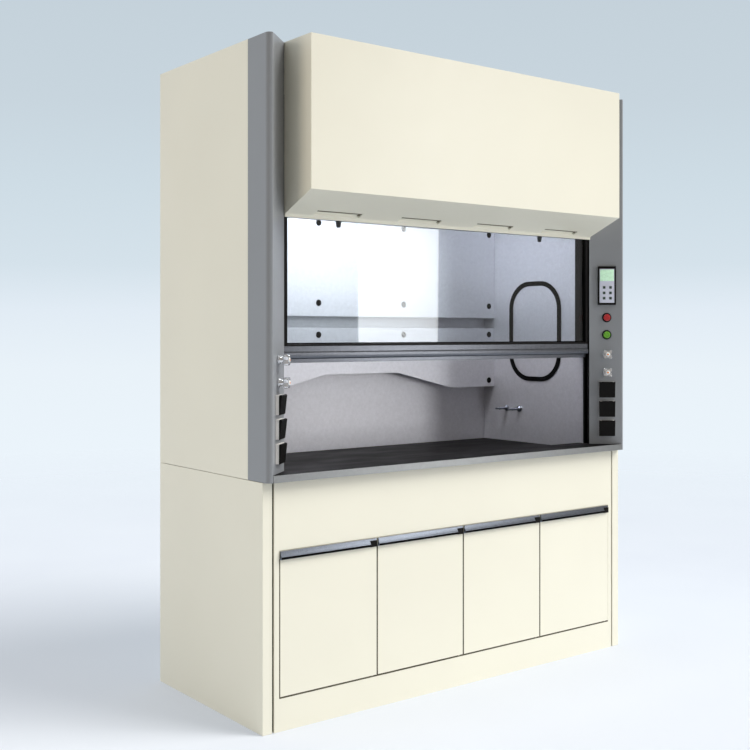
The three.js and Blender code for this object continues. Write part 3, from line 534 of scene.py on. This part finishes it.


# ---------- trim on the baffles, doors, sash, canopy and ceiling, and dark pieces that paint shade in seams, grooves and recesses ---

PULL_CUT = 30  # length of a pull's cut-back right end


def baffle_caps():
    """Domed black caps over the screws that hold the baffles."""
    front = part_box("baffle_lower")[0].y / MM
    outer = 743
    inner = 228
    upper_rows = (1341, 1474, 1808)
    lower_row = 1127
    places = [(x, z) for z in upper_rows for x in (-outer, -inner, inner, outer)]
    places += [(x, lower_row) for x in (-outer, outer)]
    profile = [(0, -5.2), (5.5, -5), (10.5, -3.6), (13, -1.4), (13.5, -0.3), (0, -0.3)]

    def build(work):
        for x, z in places:
            place = Matrix.Translation((x * MM, front * MM, z * MM))
            add_turned(work, profile, 32, place)

    material = rubber("cap_rubber", srgb(6, 6, 6))
    finish_piece("baffle_screw_caps", mesh_from(build), material)


def handle_end_shades():
    """Painted shade: a dark block in each pull's cut-back end, standing for the shade on the end wall of its
    recess.
    """
    end_gap = 0.6
    foot_gap = 0.3
    height = 22.1
    nose_room = 3.2
    depth = 5.4
    for i in DOORS:
        low, high = box_mm(f"door_handle_{i}")
        along = (high.x - PULL_CUT, high.x - end_gap)
        front = low.y + nose_room
        foot = low.z + foot_gap
        # a dark block that paints the shade on the recess's end wall
        end_shade_box = span(along, (front, front + depth), (foot, foot + height))
        mesh = block_mesh([end_shade_box], 0.8)
        finish_piece(f"door_handle_end_shade_{i}", mesh, looks["black_plastic"], f"door_{i}")


def handle_nose_shades():
    """Painted shade: a black strip along the nose of each pull, standing for the shaded finger gap under it."""
    end_gap = 0.3
    proud = 0.5
    wrap = 2.4
    drop = 19.5  # of the nose below the pull's top
    height = 8
    for i in DOORS:
        low, high = box_mm(f"door_handle_{i}")
        along = (low.x + end_gap, high.x - PULL_CUT)
        top = high.z - drop
        # a black box that paints the shade of the finger gap under the nose
        grip = span(along, (low.y - proud, low.y + wrap), (top - height, top))
        mesh = block_mesh([grip], 0.9)
        finish_piece(f"door_handle_nose_shade_{i}", mesh, looks["black_rubber"], f"door_{i}")


def glass_bead():
    """The rubber bead that holds the glass against its ledge."""
    low, high = box_mm("sash_glass")
    width = 4.5
    depth = (low.y - 2.2, low.y - 0.1)
    across = (low.x, high.x)
    upright = (low.z, high.z)
    rails = [
        span(across, depth, (low.z, low.z + width)),
        span(across, depth, (high.z - width, high.z)),
        span((low.x, low.x + width), depth, upright),
        span((high.x - width, high.x), depth, upright),
    ]
    mesh = block_mesh(rails, 0.8, 2)
    finish_piece("sash_glass_bead", mesh, looks["black_rubber"], "sash")


def door_seam_shades():
    """Dark strips that paint the shade in the seams round the doors: on each door's left edge, and on the
    doorway's sill.
    """
    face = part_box("base_front_frame")[0].y / MM
    proud = 0.35
    reach_in = 10
    overlap = 1.4
    pin_length = 4.4  # of the lower pivot pin, under its door
    sill_gap = 2  # between the sill and a door
    pin_from_edge = 17
    pin_room = 5
    pull_room = 31  # from the upper pin's top down to just above the foot of the pull
    for i in DOORS:
        low, high = box_mm(f"door_{i}")
        sill = low.z + pin_length - sill_gap
        upright = (sill + 2.2, high.z - pull_room)
        edge = span((low.x - 0.8, low.x + 2.6), (face - proud, face + reach_in), upright)
        mesh = block_mesh([edge], 0.2, 2)
        finish_piece(f"door_seam_shade_{i}", mesh, extra["seam_shade"], f"door_{i}")

        across = (low.x - overlap, high.x + overlap)
        # the lip paints the dark line of shade along the sill under each door
        lip = span(across, (face - proud, face - 0.02), (sill - 3.6, sill + 0.8))
        pin = high.x - pin_from_edge
        depth = (face - 0.2, face + reach_in)
        height = (sill + 0.05, sill + 0.8)
        ledges = [span(run, depth, height) for run in ((low.x, pin - pin_room), (pin + pin_room, high.x))]

        def strip(work):
            add_block(work, *lip, 0.1, 1)
            for ledge in ledges:
                add_block(work, *ledge, 0.2, 2)

        finish_piece(f"sill_painted_shade_{i}", mesh_from(strip), extra["seam_shade"])


def groove_shades():
    """A black strip that paints the shade at the bottom of the groove between the doors' frame and each side
    sheet.
    """
    low, high = box_mm("base_front_frame")
    width = 7.4
    overlap = 0.4
    end_room = 4
    depth = (low.y + 7, low.y + 11.7)
    upright = (end_room, high.z - end_room)
    shade_strips = [
        span((low.x - overlap, low.x + width), depth, upright),
        span((high.x - width, high.x + overlap), depth, upright),
    ]
    # these strips paint the groove's shade
    mesh = block_mesh(shade_strips, 0.3, 2)
    finish_piece("groove_shades", mesh, looks["black_rubber"])


def tray_painted_shades():
    """Painted shade: a dark strip along the ceiling of each tray under the canopy, where the front wall shades it,
    with a short one for the shaded right end.
    """
    low, high = box_mm("front_canopy")
    lip_depth = 5.7
    lip_height = 11
    underside_height = 80.5  # of the canopy's front edge above the foot of its lip
    tray_reach = 34
    tray_depth = 7
    tray_centres = (-566, -189, 189, 566)
    half = 97
    short_width = 8
    lip_front = high.y - lip_depth
    slope = (underside_height - lip_height) / (lip_front - low.y)
    front = lip_front - tray_reach
    ceiling = low.z + underside_height - slope * (front + 14 - low.y) + tray_depth
    shade_strips = []
    for x in tray_centres:
        right = x + half
        shade_strips += [
            # the long strip paints the shade along the tray's front, the short one the shaded right end
            span((x - half, right), (front + 5, front + 15), (ceiling - 2.4, ceiling + 2)),
            span((right - short_width, right), (front + 15.2, front + 27), (ceiling - 6.4, ceiling - 1)),
        ]
    finish_piece("tray_painted_shades", block_mesh(shade_strips, 0.4, 2), extra["tray_shade_paint"])


def lamp_diffuser():
    """The cover under the lamp, in the tray of the chamber's ceiling."""
    low, high = box_mm("liner_ceiling")
    half = 288
    front_room = 72
    width = 87
    drop = 41
    thick = 5
    front = low.y + front_room
    top = high.z - drop
    cover = span((-half, half), (front, front + width), (top - thick, top))
    finish_piece("lamp_diffuser", block_mesh([cover], 1.5), extra["diffuser"])


baffle_caps()
handle_end_shades()
handle_nose_shades()
glass_bead()
lamp_diffuser()
door_seam_shades()
groove_shades()
tray_painted_shades()


# ---------- ropes of the sash's counterbalance ----------

ROPE_R = 2.0


def rope_surface(work, x, path):
    """A laid wire rope along a path of (y, z) points in the plane at x, in millimetres."""
    strands = 6
    lay = 26.0  # length of one turn of the strands
    groove = 0.14  # depth between two strands, as a share of the radius
    sides = 24
    sideways = Vector((1, 0, 0))
    rings = []
    travelled = 0.0
    for k, point in enumerate(path):
        before = path[max(k - 1, 0)]
        after = path[min(k + 1, len(path) - 1)]
        along = Vector((0, after[0] - before[0], after[1] - before[1])).normalized()
        across = along.cross(sideways)
        if k:
            travelled += math.dist(point, path[k - 1])
        twist = 2 * math.pi * travelled / lay
        ring = []
        for i in range(sides):
            turn = 2 * math.pi * i / sides
            ridge = abs(math.cos((turn - twist) * strands / 2))
            reach = ROPE_R * (1 - groove + groove * ridge)
            offset = sideways * math.cos(turn) + across * math.sin(turn)
            ring.append(work.verts.new((Vector((x, *point)) + offset * reach) * MM))
        rings.append(ring)
    join_rings(work, rings)
    work.faces.new(rings[0])
    work.faces.new(rings[-1])


def straight(y, z0, z1):
    """Points about 4 mm apart on the upright line at y, from z0 to z1."""
    step = 4.0
    count = max(2, round(abs(z1 - z0) / step))
    return [(y, z0 + (z1 - z0) * k / count) for k in range(count + 1)]


def rope(name, node, path):
    """A rope along a fixed path over its sheaves, baked in place and attached to no body; the CAD node it stands
    for is hidden.
    """
    x = middle(node)[0]
    mesh = mesh_from(lambda work: rope_surface(work, x, path))
    piece = finish_piece(name, mesh, looks["bare_steel"], body=None)
    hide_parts(node)
    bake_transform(piece)


def ropes():
    """On each side, a run from the sash to the front sheave, and one over both sheaves to the weight."""
    front_y, axle = middle("front_pulley_shaft")[1:]
    rear_y = middle("rear_pulley_shaft")[1]
    bend_steps = 12
    top_steps = 120
    quarter = [math.pi / 2 * k / bend_steps for k in range(bend_steps + 1)]
    for side in SIDES:
        low, high = box_mm(f"sash_cable_{side}")
        sash_y = (low.y + high.y) / 2
        rope(f"sash_rope_{side}", f"sash_cable_{side}", straight(sash_y, low.z, high.z))
        low, high = box_mm(f"weight_cable_{side}")
        bend = front_y - sash_y
        rise = straight(high.y - ROPE_R, low.z, axle)[:-1]
        rear = [(rear_y + bend * math.cos(turn), axle + bend * math.sin(turn)) for turn in quarter]
        shares = [k / top_steps for k in range(1, top_steps)]
        top = [(rear_y + (front_y - rear_y) * share, axle + bend) for share in shares]
        front = [(front_y - bend * math.sin(turn), axle + bend * math.cos(turn)) for turn in quarter]
        rope(f"weight_rope_{side}", f"weight_cable_{side}", rise + rear + top + front)


ropes()


# ---------- floor, lights and camera ----------

def pale_floor():
    """A pale floor that fades into the background far from the hood."""
    radius = 26
    fade_start = 2.5
    fade_end = 9.0
    mesh = bpy.data.meshes.new("floor")
    work = bmesh.new()
    bmesh.ops.create_circle(work, cap_ends=True, radius=radius, segments=96)
    work.to_mesh(mesh)
    work.free()
    floor = bpy.data.objects.new("floor", mesh)
    bpy.context.scene.collection.objects.link(floor)
    made = Material("floor_paper").set(roughness=0.9, specular_ior_level=0.1)
    made.set(emission_color=srgb(226, 238, 255), emission_strength=0.25)
    made.colour(made.ramp(made.noise(0.8, 2), srgb(200, 203, 208), srgb(204, 207, 211)))
    distance = made.node("ShaderNodeVectorMath", operation="LENGTH")
    made.link(made.coordinates, distance.inputs[0])
    fade = made.ramp(distance.outputs["Value"], 1.0, 0.0, fade_start, fade_end)
    made.link(fade, made.shader.inputs["Alpha"])
    mesh.materials.append(made.data)


def area_light(name, place, target, size, power, colour=(1, 1, 1)):
    """A rectangular lamp at place that shines towards target and isn't seen itself."""
    light = bpy.data.lights.new(name, "AREA")
    light.shape = "RECTANGLE"
    light.size, light.size_y = size
    light.energy = power
    light.color = colour
    lamp = bpy.data.objects.new(name, light)
    lamp.location = place
    lamp.rotation_euler = (Vector(target) - Vector(place)).to_track_quat("-Z", "Y").to_euler()
    lamp.visible_camera = False
    bpy.context.scene.collection.objects.link(lamp)
    return lamp


def sun_light(towards, strength, degrees, colour):
    """Even light from one direction, as soft as a disc that wide in the sky would make it."""
    light = bpy.data.lights.new("key", "SUN")
    light.energy = strength
    light.angle = math.radians(degrees)
    light.color = colour
    lamp = bpy.data.objects.new("key", light)
    lamp.rotation_euler = Vector(towards).to_track_quat("Z", "Y").to_euler()
    lamp.visible_glossy = False
    bpy.context.scene.collection.objects.link(lamp)


def blend_along(tree, source, stops):
    """The colour for source's value, from stops of (value, colour) in rising order."""
    low = stops[0][0]
    high = stops[-1][0]
    share = tree.nodes.new("ShaderNodeMapRange")
    share.inputs["From Min"].default_value = low
    share.inputs["From Max"].default_value = high
    ramp = tree.nodes.new("ShaderNodeValToRGB")
    elements = ramp.color_ramp.elements
    while len(elements) < len(stops):
        elements.new(0.5)
    for element, (value, colour) in zip(elements, stops):
        element.position = (value - low) / (high - low)
        element.color = colour
    tree.links.new(source, share.inputs["Value"])
    tree.links.new(share.outputs["Result"], ramp.inputs["Fac"])
    return ramp.outputs["Color"]


# What is seen behind the hood, by the height of the line of sight.
BACKDROP = [
    (-0.10, srgb(235, 244, 251)),
    (-0.03, srgb(233, 242, 249)),
    (0.02, srgb(226, 236, 245)),
    (0.06, srgb(213, 226, 235)),
    (0.13, srgb(206, 220, 229)),
    (0.20, srgb(200, 213, 222)),
    (0.30, srgb(196, 209, 218)),
]
# What lights the hood, from the front of the room at -1 to its back at 1.
ROOM = [
    (-1.0, srgb(142, 134, 124)),
    (-0.2, srgb(158, 157, 154)),
    (0.5, srgb(205, 216, 228)),
    (1.0, srgb(222, 232, 242)),
]


def studio():
    """A pale backdrop for the camera, and a room that is brighter behind the hood than in front."""
    world = bpy.data.worlds.new("studio")
    bpy.context.scene.world = world
    world.use_nodes = True
    tree = world.node_tree
    background = tree.nodes["Background"]
    coordinates = tree.nodes.new("ShaderNodeTexCoord")
    split = tree.nodes.new("ShaderNodeSeparateXYZ")
    tree.links.new(coordinates.outputs["Generated"], split.inputs["Vector"])
    backdrop = blend_along(tree, split.outputs["Z"], BACKDROP)
    room = blend_along(tree, split.outputs["Y"], ROOM)
    seen = tree.nodes.new("ShaderNodeLightPath")
    choice = tree.nodes.new("ShaderNodeMix")
    choice.data_type = "RGBA"
    tree.links.new(seen.outputs["Is Camera Ray"], choice.inputs[MIX_FACTOR])
    tree.links.new(room, choice.inputs[MIX_A])
    tree.links.new(backdrop, choice.inputs[MIX_B])
    tree.links.new(choice.outputs[MIX_RESULT], background.inputs["Color"])


def lights():
    """A soft sun, a warm lamp on the left, a tall one on the right, and two in the chamber."""
    sun_light(towards=(0.5, -0.5, 0.7), strength=2.55, degrees=35, colour=(1, 0.99, 0.975))
    side = area_light(
        "side", place=(-4.6, 0.5, 2.4), target=(-0.9, 0.0, 1.2), size=(2.4, 2.4), power=38,
        colour=(1, 0.82, 0.6),
    )
    side.visible_glossy = False
    area_light(
        "strip", place=(2.35, -3.5, 2.0), target=(0.0, -0.2, 1.6), size=(0.6, 3.0), power=40,
    )
    area_light(
        "chamber_lamp", place=(-0.1, -0.07, 2.13), target=(0.0, 0.12, 1.0), size=(1.2, 0.07), power=31,
    )
    area_light(
        "chamber_fill", place=(0.0, -0.08, 1.68), target=(0.0, 0.32, 1.6), size=(1.2, 0.4), power=2.2,
    )


def place_camera():
    """The camera stands in front of the hood and well to its left, and looks at it level."""
    data = bpy.data.cameras.new("camera")
    data.lens = 53.47
    data.sensor_width = 36
    data.shift_y = -0.0555
    camera = bpy.data.objects.new("camera", data)
    camera.location = (-2.8696, -3.5001, 1.3466)
    camera.rotation_euler = (math.radians(90), 0, math.radians(-37.539))
    bpy.context.scene.collection.objects.link(camera)
    bpy.context.scene.camera = camera


pale_floor()
studio()
lights()
place_camera()
bpy.context.scene.view_settings.view_transform = "Standard"
